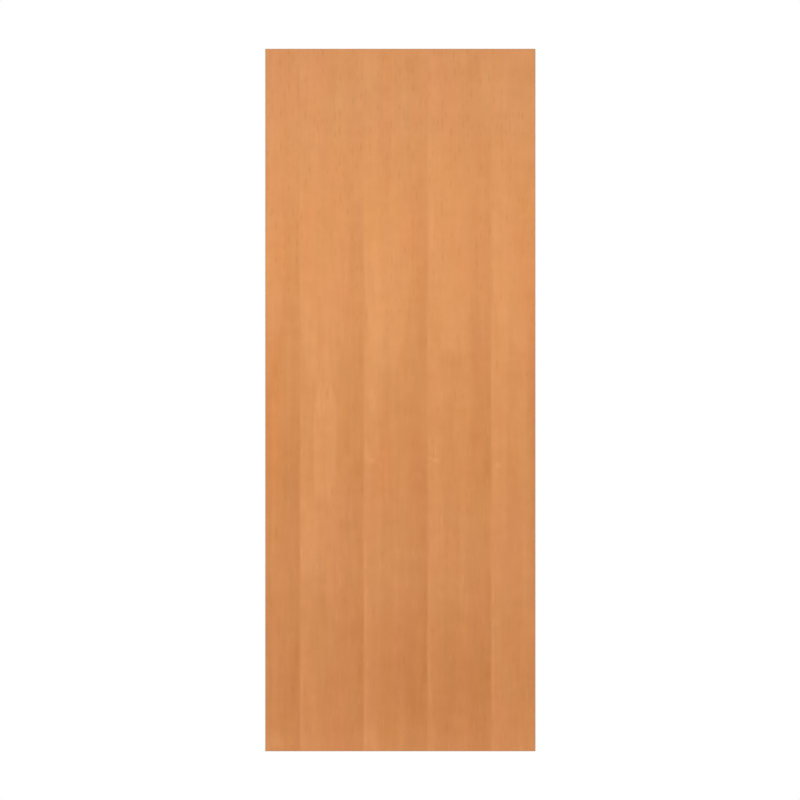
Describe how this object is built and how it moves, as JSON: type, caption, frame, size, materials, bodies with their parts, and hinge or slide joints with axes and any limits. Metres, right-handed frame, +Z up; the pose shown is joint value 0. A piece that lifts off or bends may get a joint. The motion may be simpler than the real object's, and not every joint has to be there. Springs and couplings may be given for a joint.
{
  "type": "batten core flush door leaf",
  "caption": "Blank flush door leaf: tongued timber frame and upright battens between three-ply skins, with slip-matched face veneer and hardwood lippings.",
  "frame": {"origin": "on the face of the hinge edge, at the foot of the leaf and halfway through its thickness", "axes": "+X across the leaf from the hinge edge to the lock edge, +Y from the front face to the back face, +Z up"},
  "size_m": [0.762, 0.035, 1.981],
  "materials": {
    "face_veneer": "matte",
    "crossband": "matte",
    "inner_ply": "matte",
    "lipping": "matte",
    "core_timber": "matte"
  },
  "bodies": {
    "root": {"hinge_lipping": "lipping", "lock_lipping": "lipping", "hinge_stile": "core_timber", "lock_stile": "core_timber", "bottom_rail": "core_timber", "top_rail": "core_timber", "lock_block": "core_timber", "spare_lock_block": "core_timber", "batten_1_lower": "core_timber", "batten_1_upper": "core_timber", "batten_2": "core_timber", "batten_3": "core_timber", "batten_4": "core_timber", "batten_5": "core_timber", "batten_6": "core_timber", "batten_7": "core_timber", "batten_8": "core_timber", "batten_9_lower": "core_timber", "batten_9_upper": "core_timber", "front_inner_ply": "inner_ply", "back_inner_ply": "inner_ply", "front_crossband": "crossband", "back_crossband": "crossband", "front_veneer_1": "face_veneer", "front_veneer_2": "face_veneer", "front_veneer_3": "face_veneer", "front_veneer_4": "face_veneer", "front_veneer_5": "face_veneer", "back_veneer_1": "face_veneer", "back_veneer_2": "face_veneer", "back_veneer_3": "face_veneer", "back_veneer_4": "face_veneer", "back_veneer_5": "face_veneer"}
  },
  "joints": []
}
